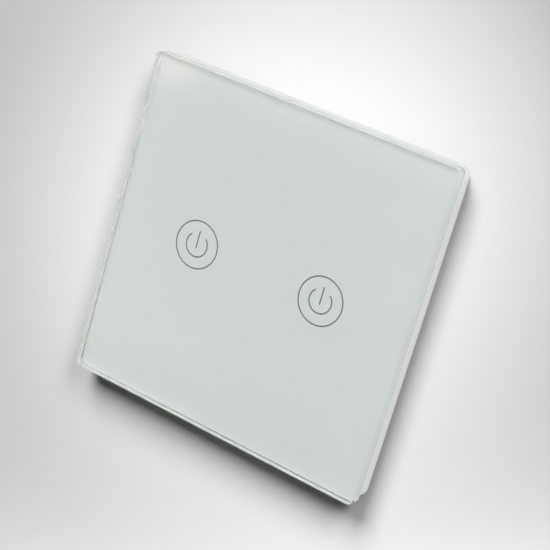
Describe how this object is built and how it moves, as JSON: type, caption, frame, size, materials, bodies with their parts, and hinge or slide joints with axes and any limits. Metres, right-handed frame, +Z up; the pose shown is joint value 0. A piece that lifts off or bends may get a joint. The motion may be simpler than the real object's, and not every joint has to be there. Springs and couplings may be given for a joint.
{
  "type": "touch light switch",
  "caption": "Flush wall switch with a square glass touch panel in a shallow white frame, on a mounting plate whose rear box holds relays, a power supply and screw terminals.",
  "frame": {"origin": "middle of the mounting plate's back, in the plane of the wall", "axes": "X to the right as seen from the front, +Y into the wall, so that the glass faces -Y, and +Z up"},
  "size_m": [0.086, 0.0363, 0.086],
  "materials": {
    "clear_glass": "polished",
    "pale_print": "matt",
    "grey_print": "matt",
    "seam_glue": "satin",
    "white_plastic": "satin",
    "plate_plastic": "satin",
    "box_plastic": "satin",
    "block_plastic": "satin",
    "zinc_steel": "zinc plated",
    "relay_iron": "satin",
    "plated_brass": "satin",
    "spring_wire": "gold plated",
    "green_board": "satin",
    "tan_board": "satin",
    "black_plastic": "matt",
    "lamp_resin": "glossy",
    "shroud_plastic": "matt",
    "ferrite": "matt",
    "yellow_tape": "satin",
    "yellow_case": "satin",
    "dark_sleeve": "satin",
    "blue_coat": "satin",
    "green_coat": "satin",
    "relay_blue": "satin",
    "copper_wire": "enamelled"
  },
  "bodies": {
    "base": {"mounting_plate": "plate_plastic", "rear_box": "box_plastic", "housing_screws": "zinc_steel", "touch_board": "green_board", "left_touch_spring": "spring_wire", "right_touch_spring": "spring_wire", "left_light_shroud": "shroud_plastic", "right_light_shroud": "shroud_plastic", "indicator_leds": "lamp_resin", "touch_chip": "black_plastic", "touch_resistors": "black_plastic", "socket_strip": "black_plastic", "header_strip": "black_plastic", "power_board": "tan_board", "transformer_core": "ferrite", "transformer_winding": "yellow_tape", "film_capacitor": "yellow_case", "bulk_capacitor": "dark_sleeve", "output_capacitor": "dark_sleeve", "varistor": "blue_coat", "fuse_resistor": "green_coat", "rectifier_bridge": "black_plastic", "regulator_chip": "black_plastic", "terminal_block": "block_plastic", "left_relay_base": "relay_blue", "left_relay_yoke": "relay_iron", "left_relay_coil": "copper_wire", "left_relay_contact": "plated_brass", "left_relay_cover": "relay_blue", "right_relay_base": "relay_blue", "right_relay_yoke": "relay_iron", "right_relay_coil": "copper_wire", "right_relay_contact": "plated_brass", "right_relay_cover": "relay_blue", "terminal_tab_1": "plated_brass", "terminal_tab_2": "plated_brass", "terminal_tab_3": "plated_brass", "terminal_tab_4": "plated_brass"},
    "panel": {"glass_panel": "clear_glass", "printed_film": "pale_print", "glue_seam": "seam_glue", "left_touch_sign": "grey_print", "right_touch_sign": "grey_print", "panel_frame": "white_plastic"},
    "clamp_screw_1": {"clamp_screw_1": "zinc_steel"},
    "clamp_cage_1": {"clamp_cage_1": "plated_brass"},
    "clamp_screw_2": {"clamp_screw_2": "zinc_steel"},
    "clamp_cage_2": {"clamp_cage_2": "plated_brass"},
    "clamp_screw_3": {"clamp_screw_3": "zinc_steel"},
    "clamp_cage_3": {"clamp_cage_3": "plated_brass"},
    "clamp_screw_4": {"clamp_screw_4": "zinc_steel"},
    "clamp_cage_4": {"clamp_cage_4": "plated_brass"},
    "left_armature": {"left_relay_armature": "relay_iron"},
    "right_armature": {"right_relay_armature": "relay_iron"}
  },
  "joints": [
    {"name": "panel_pull", "type": "slide", "parent": "base", "child": "panel", "axis": [0, -1, 0], "range_m": [0, 0.03]},
    {"name": "clamp_screw_1_turn", "type": "hinge", "parent": "base", "child": "clamp_screw_1", "pos_m": [-0.015, 0.0288, -0.01825], "axis": [0, -1, 0], "range_deg": [0, 1080]},
    {"name": "clamp_cage_1_slide", "type": "slide", "parent": "base", "child": "clamp_cage_1", "axis": [0, 1, 0], "range_m": [0, 0.0015]},
    {"name": "clamp_screw_2_turn", "type": "hinge", "parent": "base", "child": "clamp_screw_2", "pos_m": [-0.005, 0.0288, -0.01825], "axis": [0, -1, 0], "range_deg": [0, 1080]},
    {"name": "clamp_cage_2_slide", "type": "slide", "parent": "base", "child": "clamp_cage_2", "axis": [0, 1, 0], "range_m": [0, 0.0015]},
    {"name": "clamp_screw_3_turn", "type": "hinge", "parent": "base", "child": "clamp_screw_3", "pos_m": [0.005, 0.0288, -0.01825], "axis": [0, -1, 0], "range_deg": [0, 1080]},
    {"name": "clamp_cage_3_slide", "type": "slide", "parent": "base", "child": "clamp_cage_3", "axis": [0, 1, 0], "range_m": [0, 0.0015]},
    {"name": "clamp_screw_4_turn", "type": "hinge", "parent": "base", "child": "clamp_screw_4", "pos_m": [0.015, 0.0288, -0.01825], "axis": [0, -1, 0], "range_deg": [0, 1080]},
    {"name": "clamp_cage_4_slide", "type": "slide", "parent": "base", "child": "clamp_cage_4", "axis": [0, 1, 0], "range_m": [0, 0.0015]},
    {"name": "left_armature_tilt", "type": "hinge", "parent": "base", "child": "left_armature", "pos_m": [-0.01675, 0.02205, 0.0017], "axis": [-1, 0, 0], "range_deg": [0, 4.5], "stiffness_Nm_per_rad": 0.01},
    {"name": "right_armature_tilt", "type": "hinge", "parent": "base", "child": "right_armature", "pos_m": [0.01675, 0.02205, 0.0017], "axis": [-1, 0, 0], "range_deg": [0, 4.5], "stiffness_Nm_per_rad": 0.01}
  ],
  "couplings": [
    {"joint": "clamp_screw_1_turn", "follows": "clamp_cage_1_slide", "rad_per_m": 12566},
    {"joint": "clamp_screw_2_turn", "follows": "clamp_cage_2_slide", "rad_per_m": 12566},
    {"joint": "clamp_screw_3_turn", "follows": "clamp_cage_3_slide", "rad_per_m": 12566},
    {"joint": "clamp_screw_4_turn", "follows": "clamp_cage_4_slide", "rad_per_m": 12566}
  ]
}
